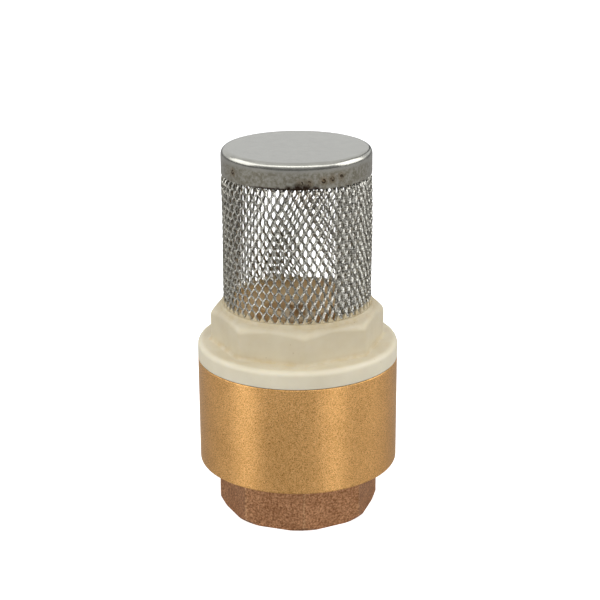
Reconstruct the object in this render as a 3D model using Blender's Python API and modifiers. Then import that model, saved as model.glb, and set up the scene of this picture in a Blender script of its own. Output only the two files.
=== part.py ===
"""Spring foot valve, 1 inch: brass body, nylon inlet cap and stainless strainer basket.

The valve stands on its outlet end. The origin is at the centre of the outlet face, and +Z runs up the
valve's axis towards the strainer. Every length below is in millimetres; MM turns it into metres.
"""

import math

import bmesh
import bpy
from mathutils import Matrix, Vector

MM = 0.001
GAP = 0.3  # clearance between pieces that touch or are screwed together
RUNNING = 0.1  # radial clearance of the stem in its guide bushes
CUT_OVER = 1.0  # how far a cutter runs past the face that it opens
OVERLAP = 1.0  # how far a solid runs into the one that it is joined to

# Outside shape
BODY_R = 25.0
BODY_TOP = 39.95
BODY_RIM_CHAMFER = 0.2
BODY_EDGE_R = 0.4
OUTLET_HEIGHT = 12.8
OUTLET_CORNER_R = 20.2
OUTLET_END_R = 19.0
OUTLET_CHAMFER = 1.2
COLLAR_CORNER_R = 21.8
OCTAGON_TURN = 4.0  # degrees from the front to the nearest corner, towards +X
FLANGE_BOTTOM = BODY_TOP + GAP
FLANGE_TOP = 44.6
FLANGE_EDGE_R = 1.5
COLLAR_RING_R = 19.3
COLLAR_RING_Z = 53.2
COLLAR_CORNER_Z = 51.9
COLLAR_TOP = 54.2
COLLAR_BEAD = 0.5  # width of the sloping side of the raised ring on top of the collar
COLLAR_BEAD_RISE = 0.4
MESH_R = 18.25
MESH_THICK = 0.6
MESH_NECK = 0.6  # height over which the mesh is pressed in below the end cap
CAP_R = 18.35
CAP_SHEET = 0.4
CAP_SHOULDER_R = 1.2
SKIRT_BOTTOM = 87.1
TOTAL_HEIGHT = 93.3

# Brass body, inside
THREAD_MINOR_R = 15.15  # G1 female thread, 30.3 mm minor diameter
THREAD_MAJOR_R = 16.6
THREAD_RELIEF_R = 16.8
GASKET_BED = 12.7
THREAD_END = 10.5
OUTLET_GASKET_THICK = 1.6
PORT_R = 13.2
FLOOR_Z = 15.5
CHAMBER_R = 20.8
CHAMBER_TOP = 28.5
CAP_THREAD_R = 21.65
RIM_STEP_Z = 37.6
RIM_STEP_R = 22.6
BOSS_R = 4.8
BOSS_BOTTOM = 8.5
RIB_BOTTOM = GASKET_BED + 0.2
RIB_HALF = 1.25
RIB_COUNT = 4
RIB_DROP = 0.3  # how far the ribs' tops lie below their hub's top

# Nylon inlet cap, inside and below its flange
SPIGOT_R = CAP_THREAD_R - GAP
SPIGOT_BOTTOM = 29.0
SPIGOT_BORE_R = 18.5
SPIGOT_CHAMFER = 1.0
GROOVE_R = 20.3
SEAT_ROOF = 33.6
SEAT_LIP = 0.6
SEAT_IN_R = 13.6
SEAT_OUT_R = 15.2
BORE_R = 13.0
FUNNEL_BOTTOM = 49.8
FUNNEL_TOP_R = 17.0
FUNNEL_LIP = 0.4  # height of the straight part above the funnel
SPIDER_BOTTOM = 44.5
SPIDER_TOP = 49.5
SPIDER_BOSS_R = 4.6
SPIDER_HALF = 1.0
MESH_SLOT_BOTTOM = 51.2

# Poppet, at rest on its seat
STEM_R = 2.0
BUSH_IN_R = STEM_R + RUNNING
BUSH_OUT_R = 3.0
BUSH_FLANGE_R = 4.2
BUSH_FLANGE = 0.6
SEAL_THICK = 2.0
SEAL_R = 15.9
DISC_THICK = 3.0
DISC_R = 16.8
DISC_RIM = 1.2  # how far the rim stands above the plate
DISC_BEVEL = 2.4
DISC_BEVEL_RISE = 1.4
RETAINER_R = 11.6
RETAINER_THICK = 1.5
RETAINER_CHAMFER = 0.4
LOCK_WASHER_R = 3.7
LOCK_WASHER_THICK = 0.9
LOCK_WASHER_SLIT = 0.5
LOCK_WASHER_LEAN = 25.0  # degrees
NUT_HEIGHT = 3.2
NUT_FLATS = 7.0
NUT_CHAMFER_SLOPE = 30.0  # degrees
STEM_TOP = 53.9
STEM_BOTTOM = 6.5
STEM_TIP = 0.5  # chamfer at both ends
COLLAR_THICK = 1.7
STEM_COLLAR_R = 3.4
BACKING_R = 5.0
BACKING_THICK = 1.5
CLIP_THICK = 0.6
CLIP_R = 3.4
CLIP_GROOVE = 0.55  # depth of the clip's groove in the stem
CLIP_BITE = 0.25  # how far the clip reaches into it
CLIP_OPENING = 2.4
GROOVE_PLAY = 0.2

# Closing spring
SPRING_R = 5.9
SPRING_WIRE = 0.8
SPRING_COILS = 5.0
SPRING_CLOSED_TURN = 0.9  # turns at each end that lie almost flat
SPRING_CLOSED_RISE = 1.06  # rise of such a turn, in wire thicknesses
SPRING_POINTS = 16  # points a turn
SEAT_WASHER_R = 7.2
SEAT_WASHER_THICK = 0.6

# Spot welds, in degrees from the front towards +X
CAP_WELDS = (3.0, 9.0, 20.0, 27.0, 35.0, 125.0, 215.0, 305.0)
CAP_WELD_DROP = 1.0  # below the middle of the skirt
SEAM_TURN = 47.0
SEAM_WELD_COUNT = 3
SEAM_WELD_MARGIN = 4.0  # from the collar, and from the end cap
WELD_R = 0.7
WELD_THICK = 0.15
WELD_SIDES = 12
WELD_LIFT = 0.05  # clearance from the mesh

# Facets round a full turn
FACETS_LARGE = 48
FACETS_SMALL = 24


def clear_scene():
    for thing in list(bpy.data.objects):
        bpy.data.objects.remove(thing, do_unlink=True)


def new_collection(name):
    collection = bpy.data.collections.new(name)
    bpy.context.scene.collection.children.link(collection)
    return collection


def material(name, colour, roughness, metallic):
    made = bpy.data.materials.new(name)
    made.use_nodes = True
    shader = made.node_tree.nodes["Principled BSDF"]
    shader.inputs["Base Color"].default_value = (*colour, 1.0)
    shader.inputs["Roughness"].default_value = roughness
    shader.inputs["Metallic"].default_value = metallic
    return made


def add_object(name, mesh, collection, finish=None):
    piece = bpy.data.objects.new(name, mesh)
    collection.objects.link(piece)
    if finish is not None:
        mesh.materials.append(finish)
    return piece


def as_cutter(piece):
    piece.hide_render = True
    piece.display_type = "WIRE"
    return piece


def smooth(piece, angle=40.0):
    """Shades a round piece smooth and keeps its real edges sharp."""
    piece.data.shade_smooth()
    piece.data.set_sharp_from_angle(angle=math.radians(angle))


def turned(name, profile, collection, finish=None, facets=FACETS_LARGE, closed=True):
    """A turned piece. The profile holds (radius, height) points, from the top down its outer side.

    A closed profile is a ring's section. An open one starts and ends on the axis.
    """
    mesh = bpy.data.meshes.new(name)
    shape = bmesh.new()
    points = [shape.verts.new((r * MM, 0.0, z * MM)) for r, z in profile]
    for first, second in zip(points, points[1:]):
        shape.edges.new((first, second))
    if closed:
        shape.edges.new((points[-1], points[0]))
    shape.to_mesh(mesh)
    shape.free()
    piece = add_object(name, mesh, collection, finish)
    screw = piece.modifiers.new("turn", "SCREW")
    screw.steps = facets
    screw.render_steps = facets
    screw.use_merge_vertices = True
    screw.merge_threshold = 0.00001
    screw.use_smooth_shade = True
    return piece


def arc(centre_r, centre_z, radius, start, end, steps):
    """Points along an arc in the (radius, height) plane, from start to end degrees."""
    angles = [math.radians(start + (end - start) * i / steps) for i in range(steps + 1)]
    return [(centre_r + radius * math.cos(a), centre_z + radius * math.sin(a)) for a in angles]


def ring_profile(inner, outer, bottom, top, edge=0.0):
    """A ring's rectangular section, with its outer edges chamfered by edge."""
    if edge == 0.0:
        return [(outer, top), (outer, bottom), (inner, bottom), (inner, top)]
    return [
        (outer - edge, top),
        (outer, top - edge),
        (outer, bottom + edge),
        (outer - edge, bottom),
        (inner, bottom),
        (inner, top),
    ]


def prism(name, corner_r, bottom, top, sides, turn, collection, finish=None):
    """An upright prism with a corner at turn degrees from the front, towards +X."""
    mesh = bpy.data.meshes.new(name)
    shape = bmesh.new()
    upright = Matrix.Translation((0.0, 0.0, 0.5 * (bottom + top) * MM))
    bmesh.ops.create_cone(
        shape,
        cap_ends=True,
        segments=sides,
        radius1=corner_r * MM,
        radius2=corner_r * MM,
        depth=(top - bottom) * MM,
        matrix=upright,
    )
    shape.verts.ensure_lookup_table()
    first = shape.verts[0].co
    corner = math.atan2(first.y, first.x)
    wanted = math.radians(turn - 90.0)
    bmesh.ops.rotate(shape, verts=shape.verts, matrix=Matrix.Rotation(wanted - corner, 3, "Z"))
    shape.to_mesh(mesh)
    shape.free()
    return add_object(name, mesh, collection, finish)


def block(name, size, centre, turn, collection):
    """A box of the given size, turned about the axis after it is placed."""
    mesh = bpy.data.meshes.new(name)
    shape = bmesh.new()
    bmesh.ops.create_cube(shape, size=1.0)
    bmesh.ops.scale(shape, verts=shape.verts, vec=Vector(size) * MM)
    bmesh.ops.translate(shape, verts=shape.verts, vec=Vector(centre) * MM)
    bmesh.ops.rotate(shape, verts=shape.verts, matrix=Matrix.Rotation(math.radians(turn), 3, "Z"))
    shape.to_mesh(mesh)
    shape.free()
    return add_object(name, mesh, collection)


def combine(piece, tool, operation):
    """Adds a Boolean of piece with tool. The tool is a cutter, and isn't a piece of its own."""
    change = piece.modifiers.new(tool.name, "BOOLEAN")
    change.operation = operation
    change.solver = "EXACT"
    change.object = as_cutter(tool)


def spider(prefix, hub_r, hub_bottom, hub_top, rib_half, rib_bottom, reach, tools):
    """Four ribs and a hub as one solid. The ribs stand halfway between the X and Y axes."""
    hub = turned(
        prefix + "_hub",
        [(0.0, hub_top), (hub_r, hub_top), (hub_r, hub_bottom), (0.0, hub_bottom)],
        tools,
        facets=FACETS_SMALL,
        closed=False,
    )
    rib_top = hub_top - RIB_DROP
    for i in range(RIB_COUNT // 2):
        rib = block(
            f"{prefix}_rib_{i}",
            (2.0 * reach, 2.0 * rib_half, rib_top - rib_bottom),
            (0.0, 0.0, 0.5 * (rib_top + rib_bottom)),
            45.0 + 90.0 * i,
            tools,
        )
        combine(hub, rib, "UNION")
    return hub


def valve_body(parts, tools, finish):
    """Cylinder, octagon outlet, guide web and both threaded bores in one casting."""
    outside = [
        (0.0, BODY_TOP),
        (BODY_R - BODY_RIM_CHAMFER, BODY_TOP),
        (BODY_R, BODY_TOP - BODY_RIM_CHAMFER),
    ]
    outside += arc(BODY_R - BODY_EDGE_R, OUTLET_HEIGHT + BODY_EDGE_R, BODY_EDGE_R, 0.0, -90.0, 4)
    outside += [(0.0, OUTLET_HEIGHT)]
    body = turned("valve_body", outside, parts, finish, closed=False)

    octagon_top = OUTLET_HEIGHT + OVERLAP
    sides = prism("outlet_octagon", OUTLET_CORNER_R, 0.0, octagon_top, 8, OCTAGON_TURN, tools)
    slope = OUTLET_CHAMFER / (OUTLET_CORNER_R - OUTLET_END_R)
    wide = OUTLET_CORNER_R + 2.0 * CUT_OVER
    chamfer = turned(
        "outlet_chamfer",
        [
            (0.0, octagon_top + CUT_OVER),
            (wide, octagon_top + CUT_OVER),
            (wide, slope * (wide - OUTLET_END_R)),
            (OUTLET_END_R, 0.0),
            (0.0, 0.0),
        ],
        tools,
        closed=False,
    )
    combine(sides, chamfer, "INTERSECT")
    combine(body, sides, "UNION")

    bore = turned(
        "body_bore",
        [
            (0.0, BODY_TOP + CUT_OVER),
            (RIM_STEP_R, BODY_TOP + CUT_OVER),
            (RIM_STEP_R, RIM_STEP_Z),
            (CAP_THREAD_R, RIM_STEP_Z),
            (CAP_THREAD_R, CHAMBER_TOP),
            (CHAMBER_R, CHAMBER_TOP),
            (CHAMBER_R, FLOOR_Z),
            (PORT_R, FLOOR_Z),
            (PORT_R, GASKET_BED),
            (THREAD_RELIEF_R, GASKET_BED),
            (THREAD_RELIEF_R, THREAD_END),
            (THREAD_MINOR_R, THREAD_END),
            (THREAD_MINOR_R, THREAD_MAJOR_R - THREAD_MINOR_R),
            (THREAD_MAJOR_R, 0.0),
            (THREAD_MAJOR_R, -CUT_OVER),
            (0.0, -CUT_OVER),
        ],
        tools,
        closed=False,
    )
    combine(body, bore, "DIFFERENCE")

    reach = PORT_R + OVERLAP
    web = spider("body_web", BOSS_R, BOSS_BOTTOM, FLOOR_Z, RIB_HALF, RIB_BOTTOM, reach, tools)
    combine(body, web, "UNION")
    guide = turned(
        "body_guide",
        [
            (0.0, FLOOR_Z + CUT_OVER),
            (BUSH_OUT_R + GAP, FLOOR_Z + CUT_OVER),
            (BUSH_OUT_R + GAP, BOSS_BOTTOM - CUT_OVER),
            (0.0, BOSS_BOTTOM - CUT_OVER),
        ],
        tools,
        facets=FACETS_SMALL,
        closed=False,
    )
    combine(body, guide, "DIFFERENCE")
    return body


def inlet_cap(parts, tools, finish):
    """Flange, octagon collar, screwed spigot, valve seat and upper guide, moulded in one."""
    outside = [(0.0, FLANGE_TOP), (BODY_R - FLANGE_EDGE_R, FLANGE_TOP)]
    outside += arc(BODY_R - FLANGE_EDGE_R, FLANGE_TOP - FLANGE_EDGE_R, FLANGE_EDGE_R, 90.0, 0.0, 4)[1:]
    outside += [
        (BODY_R, FLANGE_BOTTOM),
        (GROOVE_R, FLANGE_BOTTOM),
        (GROOVE_R, RIM_STEP_Z),
        (SPIGOT_R, RIM_STEP_Z - SPIGOT_CHAMFER),
        (SPIGOT_R, SPIGOT_BOTTOM + SPIGOT_CHAMFER),
        (SPIGOT_R - SPIGOT_CHAMFER, SPIGOT_BOTTOM),
        (0.0, SPIGOT_BOTTOM),
    ]
    cap = turned("inlet_cap", outside, parts, finish, closed=False)

    foot = FLANGE_TOP - OVERLAP
    collar = prism("collar_octagon", COLLAR_CORNER_R, foot, COLLAR_TOP, 8, OCTAGON_TURN, tools)
    slope = (COLLAR_RING_Z - COLLAR_CORNER_Z) / (COLLAR_CORNER_R - COLLAR_RING_R)
    wide = COLLAR_CORNER_R + 2.0 * CUT_OVER
    chamfer = turned(
        "collar_chamfer",
        [
            (0.0, COLLAR_TOP),
            (COLLAR_RING_R - COLLAR_BEAD, COLLAR_TOP),
            (COLLAR_RING_R, COLLAR_RING_Z + COLLAR_BEAD_RISE),
            (COLLAR_RING_R, COLLAR_RING_Z),
            (wide, COLLAR_RING_Z - slope * (wide - COLLAR_RING_R)),
            (wide, foot - CUT_OVER),
            (0.0, foot - CUT_OVER),
        ],
        tools,
        closed=False,
    )
    combine(collar, chamfer, "INTERSECT")
    combine(cap, collar, "UNION")

    bore = turned(
        "cap_bore",
        [
            (0.0, COLLAR_TOP + CUT_OVER),
            (FUNNEL_TOP_R, COLLAR_TOP + CUT_OVER),
            (FUNNEL_TOP_R, COLLAR_TOP - FUNNEL_LIP),
            (BORE_R, FUNNEL_BOTTOM),
            (BORE_R, SPIGOT_BOTTOM - CUT_OVER),
            (0.0, SPIGOT_BOTTOM - CUT_OVER),
        ],
        tools,
        closed=False,
    )
    combine(cap, bore, "DIFFERENCE")
    pocket = turned(
        "seat_pocket",
        [
            (SPIGOT_BORE_R, SEAT_ROOF),
            (SPIGOT_BORE_R, SPIGOT_BOTTOM - CUT_OVER),
            (BORE_R - CUT_OVER, SPIGOT_BOTTOM - CUT_OVER),
            (BORE_R - CUT_OVER, SEAT_ROOF),
            (SEAT_IN_R, SEAT_ROOF),
            (SEAT_IN_R, SEAT_ROOF - SEAT_LIP),
            (SEAT_OUT_R, SEAT_ROOF - SEAT_LIP),
            (SEAT_OUT_R, SEAT_ROOF),
        ],
        tools,
    )
    combine(cap, pocket, "DIFFERENCE")

    slot = turned(
        "mesh_slot",
        ring_profile(
            MESH_R - MESH_THICK - GAP, MESH_R + GAP, MESH_SLOT_BOTTOM, COLLAR_TOP + CUT_OVER
        ),
        tools,
    )
    combine(cap, slot, "DIFFERENCE")

    web = spider(
        "cap_web",
        SPIDER_BOSS_R,
        SPIDER_BOTTOM,
        SPIDER_TOP,
        SPIDER_HALF,
        SPIDER_BOTTOM + RIB_DROP,
        BORE_R + OVERLAP,
        tools,
    )
    combine(cap, web, "UNION")
    guide = turned(
        "cap_guide",
        [
            (0.0, SPIDER_TOP + CUT_OVER),
            (BUSH_OUT_R + GAP, SPIDER_TOP + CUT_OVER),
            (BUSH_OUT_R + GAP, SPIDER_BOTTOM - CUT_OVER),
            (0.0, SPIDER_BOTTOM - CUT_OVER),
        ],
        tools,
        facets=FACETS_SMALL,
        closed=False,
    )
    combine(cap, guide, "DIFFERENCE")
    return cap


def guide_bush(name, bottom, top, parts, finish):
    """A flanged bush: the flange lies on top of the boss that holds it."""
    flange_bottom = top + GAP
    profile = [
        (BUSH_FLANGE_R, flange_bottom + BUSH_FLANGE),
        (BUSH_FLANGE_R, flange_bottom),
        (BUSH_OUT_R, flange_bottom),
        (BUSH_OUT_R, bottom),
        (BUSH_IN_R, bottom),
        (BUSH_IN_R, flange_bottom + BUSH_FLANGE),
    ]
    return turned(name, profile, parts, finish, facets=FACETS_SMALL)


def strainer_mesh(parts, finish):
    """The rolled expanded-metal tube, as a thin closed wall, pressed in where the end cap grips it."""
    inner = MESH_R - MESH_THICK
    foot = MESH_SLOT_BOTTOM + GAP
    top = TOTAL_HEIGHT - CAP_SHEET - GAP
    waist = CAP_R - CAP_SHEET - GAP
    profile = [
        (waist, top),
        (waist, SKIRT_BOTTOM),
        (MESH_R, SKIRT_BOTTOM - GAP - MESH_NECK),
        (MESH_R, foot),
        (inner, foot),
        (inner, SKIRT_BOTTOM - GAP - MESH_NECK),
        (waist - MESH_THICK, SKIRT_BOTTOM),
        (waist - MESH_THICK, top),
    ]
    return turned("strainer_mesh", profile, parts, finish)


def strainer_end_cap(parts, finish):
    """A pressed cup with a rounded shoulder and an open skirt."""
    inner = CAP_R - CAP_SHEET
    outer_arc = arc(CAP_R - CAP_SHOULDER_R, TOTAL_HEIGHT - CAP_SHOULDER_R, CAP_SHOULDER_R, 90.0, 0.0, 5)
    inner_r = CAP_SHOULDER_R - CAP_SHEET
    inner_arc = arc(CAP_R - CAP_SHOULDER_R, TOTAL_HEIGHT - CAP_SHOULDER_R, inner_r, 0.0, 90.0, 4)
    profile = [(0.0, TOTAL_HEIGHT)] + outer_arc
    profile += [(CAP_R, SKIRT_BOTTOM), (inner, SKIRT_BOTTOM)]
    profile += inner_arc + [(0.0, TOTAL_HEIGHT - CAP_SHEET)]
    return turned("strainer_end_cap", profile, parts, finish, closed=False)


def spot_weld(name, angle, height, radius, parts, finish):
    """A flat round weld nugget, lying on the wall at angle degrees from the front, towards +X."""
    mesh = bpy.data.meshes.new(name)
    shape = bmesh.new()
    bmesh.ops.create_cone(
        shape,
        cap_ends=True,
        segments=WELD_SIDES,
        radius1=WELD_R * MM,
        radius2=WELD_R * MM,
        depth=WELD_THICK * MM,
    )
    shape.to_mesh(mesh)
    shape.free()
    weld = add_object(name, mesh, parts, finish)
    middle = (radius + 0.5 * WELD_THICK) * MM
    turn = math.radians(angle - 90.0)
    weld.location = (middle * math.cos(turn), middle * math.sin(turn), height * MM)
    weld.rotation_euler = (0.0, math.radians(90.0), turn)
    return weld


def spot_welds(parts, finish):
    skirt_height = 0.5 * (SKIRT_BOTTOM + TOTAL_HEIGHT) - CAP_WELD_DROP
    between = CAP_R - CAP_SHEET - GAP + 0.5 * (GAP - WELD_THICK)
    for i, angle in enumerate(CAP_WELDS):
        spot_weld(f"cap_spot_weld_{i + 1}", angle, skirt_height, between, parts, finish)
    low = COLLAR_TOP + SEAM_WELD_MARGIN
    step = (SKIRT_BOTTOM - SEAM_WELD_MARGIN - low) / (SEAM_WELD_COUNT - 1)
    for i in range(SEAM_WELD_COUNT):
        height = low + step * i
        spot_weld(f"seam_spot_weld_{i + 1}", SEAM_TURN, height, MESH_R + WELD_LIFT, parts, finish)


def poppet_levels():
    """Heights of the poppet's stack at rest, from the seat down and up."""
    seal_top = SEAT_ROOF - SEAT_LIP - GAP
    seal_bottom = seal_top - SEAL_THICK
    disc_top = seal_bottom - GAP
    disc_bottom = disc_top - DISC_THICK
    backing_top = disc_bottom - GAP
    retainer_bottom = seal_top + GAP
    washer_bottom = retainer_bottom + RETAINER_THICK + GAP
    nut_bottom = washer_bottom + LOCK_WASHER_THICK + GAP
    return {
        "seal_top": seal_top,
        "seal_bottom": seal_bottom,
        "disc_top": disc_top,
        "disc_bottom": disc_bottom,
        "backing_top": backing_top,
        "backing_bottom": backing_top - BACKING_THICK,
        "retainer_bottom": retainer_bottom,
        "retainer_top": retainer_bottom + RETAINER_THICK,
        "washer_bottom": washer_bottom,
        "nut_bottom": nut_bottom,
    }


def poppet_disc(level, parts, finish):
    """A turned plate with a low rim that holds the seal's edge."""
    rim_in = SEAL_R + GAP
    profile = [
        (DISC_R, level["disc_top"] + DISC_RIM),
        (DISC_R, level["disc_bottom"] + DISC_BEVEL_RISE),
        (DISC_R - DISC_BEVEL, level["disc_bottom"]),
        (STEM_R + GAP, level["disc_bottom"]),
        (STEM_R + GAP, level["disc_top"]),
        (rim_in, level["disc_top"]),
        (rim_in, level["disc_top"] + DISC_RIM),
    ]
    return turned("poppet_disc", profile, parts, finish)


def poppet_stem(level, parts, finish):
    """The guide stem: collar under the disc, plain ends in the bushes and a groove for the clip."""
    collar_top = level["backing_bottom"] - GAP
    clip_middle = BOSS_BOTTOM - GAP - 0.5 * CLIP_THICK
    groove = 0.5 * CLIP_THICK + GROOVE_PLAY
    profile = [
        (0.0, STEM_TOP),
        (STEM_R - STEM_TIP, STEM_TOP),
        (STEM_R, STEM_TOP - STEM_TIP),
        (STEM_R, collar_top),
        (STEM_COLLAR_R, collar_top),
        (STEM_COLLAR_R, collar_top - COLLAR_THICK),
        (STEM_R, collar_top - COLLAR_THICK),
        (STEM_R, clip_middle + groove),
        (STEM_R - CLIP_GROOVE, clip_middle + groove),
        (STEM_R - CLIP_GROOVE, clip_middle - groove),
        (STEM_R, clip_middle - groove),
        (STEM_R, STEM_BOTTOM + STEM_TIP),
        (STEM_R - STEM_TIP, STEM_BOTTOM),
        (0.0, STEM_BOTTOM),
    ]
    return turned("poppet_stem", profile, parts, finish, facets=FACETS_SMALL, closed=False)


def stem_nut(level, parts, tools, finish):
    bottom = level["nut_bottom"]
    top = bottom + NUT_HEIGHT
    corner = 0.5 * NUT_FLATS / math.cos(math.pi / 6.0)
    nut = prism("stem_nut", corner, bottom, top, 6, 0.0, parts, finish)
    flat = 0.5 * NUT_FLATS - 0.1
    wide = corner + CUT_OVER
    rise = (wide - flat) * math.tan(math.radians(NUT_CHAMFER_SLOPE))
    chamfer = turned(
        "nut_chamfer",
        [
            (0.0, top),
            (flat, top),
            (wide, top - rise),
            (wide, bottom + rise),
            (flat, bottom),
            (0.0, bottom),
        ],
        tools,
        facets=FACETS_SMALL,
        closed=False,
    )
    combine(nut, chamfer, "INTERSECT")
    hole = STEM_R + GAP
    bore = turned(
        "nut_bore",
        [
            (0.0, top + CUT_OVER),
            (hole, top + CUT_OVER),
            (hole, bottom - CUT_OVER),
            (0.0, bottom - CUT_OVER),
        ],
        tools,
        facets=FACETS_SMALL,
        closed=False,
    )
    combine(nut, bore, "DIFFERENCE")
    return nut


def split_ring(name, inner, outer, bottom, top, opening, lean, parts, tools, finish):
    """A flat ring with a slit that leans over by lean degrees."""
    ring = turned(name, ring_profile(inner, outer, bottom, top), parts, finish, facets=FACETS_SMALL)
    slit = block(
        name + "_slit",
        (outer + CUT_OVER, opening, 3.0 * (top - bottom)),
        (0.5 * (outer + CUT_OVER), 0.0, 0.0),
        0.0,
        tools,
    )
    slit.rotation_euler = (math.radians(lean), 0.0, 0.0)
    slit.location = (0.0, 0.0, 0.5 * (bottom + top) * MM)
    combine(ring, slit, "DIFFERENCE")
    return ring


def closing_spring(level, parts, finish):
    """Open coil spring with a closed turn at each end, standing on its seat washer."""
    half_wire = 0.5 * SPRING_WIRE
    low = FLOOR_Z + GAP + SEAT_WASHER_THICK + GAP + half_wire
    high = level["disc_bottom"] - GAP - half_wire
    closed_rise = SPRING_WIRE * SPRING_CLOSED_RISE
    open_turns = SPRING_COILS - 2.0 * SPRING_CLOSED_TURN
    open_rise = high - low - 2.0 * closed_rise
    curve = bpy.data.curves.new("closing_spring", "CURVE")
    curve.dimensions = "3D"
    curve.bevel_depth = half_wire * MM
    curve.bevel_resolution = 2
    curve.use_fill_caps = True
    line = curve.splines.new("POLY")
    count = int(SPRING_COILS * SPRING_POINTS)
    line.points.add(count)
    for i in range(count + 1):
        turn = SPRING_COILS * i / count
        start = min(turn, SPRING_CLOSED_TURN) / SPRING_CLOSED_TURN
        middle = min(max(turn - SPRING_CLOSED_TURN, 0.0), open_turns) / open_turns
        end = max(turn - SPRING_CLOSED_TURN - open_turns, 0.0) / SPRING_CLOSED_TURN
        height = low + closed_rise * start + open_rise * middle + closed_rise * end
        angle = 2.0 * math.pi * turn
        x = SPRING_R * math.cos(angle) * MM
        y = SPRING_R * math.sin(angle) * MM
        line.points[i].co = (x, y, height * MM, 1.0)
    piece = bpy.data.objects.new("closing_spring", curve)
    parts.objects.link(piece)
    curve.materials.append(finish)
    return piece


def build():
    clear_scene()
    parts = new_collection("foot_valve")
    tools = new_collection("cutters")
    level = poppet_levels()

    brass = material("brass", (0.60, 0.40, 0.16), 0.42, 1.0)
    nylon = material("nylon", (0.80, 0.75, 0.60), 0.45, 0.0)
    steel = material("stainless_steel", (0.62, 0.61, 0.58), 0.35, 1.0)
    rubber = material("nitrile_rubber", (0.02, 0.02, 0.02), 0.60, 0.0)
    acetal = material("acetal", (0.78, 0.74, 0.62), 0.40, 0.0)

    body = valve_body(parts, tools, brass)
    cap = inlet_cap(parts, tools, nylon)
    guide_bush("lower_guide_bush", BOSS_BOTTOM, FLOOR_Z, parts, acetal)
    guide_bush("upper_guide_bush", SPIDER_BOTTOM, SPIDER_TOP, parts, acetal)
    turned(
        "cap_gasket",
        ring_profile(GROOVE_R + GAP, RIM_STEP_R - GAP, RIM_STEP_Z + GAP, BODY_TOP),
        parts,
        rubber,
    )
    gasket_top = GASKET_BED - GAP
    turned(
        "outlet_gasket",
        ring_profile(
            PORT_R + 0.2, THREAD_MAJOR_R - GAP, gasket_top - OUTLET_GASKET_THICK, gasket_top
        ),
        parts,
        rubber,
    )

    mesh = strainer_mesh(parts, steel)
    end_cap = strainer_end_cap(parts, steel)
    spot_welds(parts, steel)

    disc = poppet_disc(level, parts, brass)
    turned(
        "poppet_seal",
        ring_profile(STEM_R + GAP, SEAL_R, level["seal_bottom"], level["seal_top"]),
        parts,
        rubber,
    )
    turned(
        "seal_retainer",
        ring_profile(
            STEM_R + GAP,
            RETAINER_R,
            level["retainer_bottom"],
            level["retainer_top"],
            RETAINER_CHAMFER,
        ),
        parts,
        steel,
        facets=FACETS_SMALL,
    )
    turned(
        "disc_backing_washer",
        ring_profile(STEM_R + GAP, BACKING_R, level["backing_bottom"], level["backing_top"]),
        parts,
        steel,
        facets=FACETS_SMALL,
    )
    stem = poppet_stem(level, parts, steel)
    stem_nut(level, parts, tools, steel)
    washer_bottom = level["washer_bottom"]
    split_ring(
        "stem_lock_washer",
        STEM_R + GAP,
        LOCK_WASHER_R,
        washer_bottom,
        washer_bottom + LOCK_WASHER_THICK,
        LOCK_WASHER_SLIT,
        LOCK_WASHER_LEAN,
        parts,
        tools,
        steel,
    )
    clip_top = BOSS_BOTTOM - GAP
    split_ring(
        "stem_circlip",
        STEM_R - CLIP_BITE,
        CLIP_R,
        clip_top - CLIP_THICK,
        clip_top,
        CLIP_OPENING,
        0.0,
        parts,
        tools,
        steel,
    )
    turned(
        "spring_seat_washer",
        ring_profile(
            BOSS_R + GAP, SEAT_WASHER_R, FLOOR_Z + GAP, FLOOR_Z + GAP + SEAT_WASHER_THICK
        ),
        parts,
        steel,
        facets=FACETS_SMALL,
    )
    closing_spring(level, parts, steel)

    for piece in (body, cap, mesh, end_cap, disc, stem):
        smooth(piece)


build()
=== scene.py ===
"""Looks of the spring foot valve: brass body, nylon inlet cap, stainless strainer basket.

Lengths are in millimetres and MM turns them into metres. Angles round the valve's axis are counted in
degrees from the front (-Y) towards +X. The places and sizes of the CAD nodes come from the frame.
"""

import math

import bmesh
import bpy
import numpy as np
from mathutils import Matrix, Vector


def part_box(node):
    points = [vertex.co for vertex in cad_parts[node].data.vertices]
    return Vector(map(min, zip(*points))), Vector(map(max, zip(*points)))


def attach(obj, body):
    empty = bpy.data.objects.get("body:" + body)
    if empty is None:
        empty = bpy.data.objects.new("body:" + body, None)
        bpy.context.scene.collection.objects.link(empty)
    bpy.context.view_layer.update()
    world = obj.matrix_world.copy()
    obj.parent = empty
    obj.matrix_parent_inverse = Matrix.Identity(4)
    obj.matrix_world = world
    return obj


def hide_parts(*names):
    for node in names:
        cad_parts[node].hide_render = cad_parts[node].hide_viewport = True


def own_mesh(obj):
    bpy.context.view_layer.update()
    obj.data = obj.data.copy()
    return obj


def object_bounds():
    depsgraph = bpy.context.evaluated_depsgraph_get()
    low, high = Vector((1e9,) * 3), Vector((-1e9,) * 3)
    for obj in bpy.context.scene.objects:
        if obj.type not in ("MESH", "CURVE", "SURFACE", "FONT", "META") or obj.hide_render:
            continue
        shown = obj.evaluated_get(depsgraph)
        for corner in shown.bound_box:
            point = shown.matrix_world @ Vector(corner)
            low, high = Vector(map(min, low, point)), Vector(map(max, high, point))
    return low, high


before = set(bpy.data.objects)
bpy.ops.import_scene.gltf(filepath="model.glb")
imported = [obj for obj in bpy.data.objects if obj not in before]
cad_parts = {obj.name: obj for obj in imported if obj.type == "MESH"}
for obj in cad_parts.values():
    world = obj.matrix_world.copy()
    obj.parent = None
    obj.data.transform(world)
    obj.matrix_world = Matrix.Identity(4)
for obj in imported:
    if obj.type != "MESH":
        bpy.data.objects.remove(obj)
cad_low, cad_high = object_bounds()

MM = 0.001
TAU = 2.0 * math.pi


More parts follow.
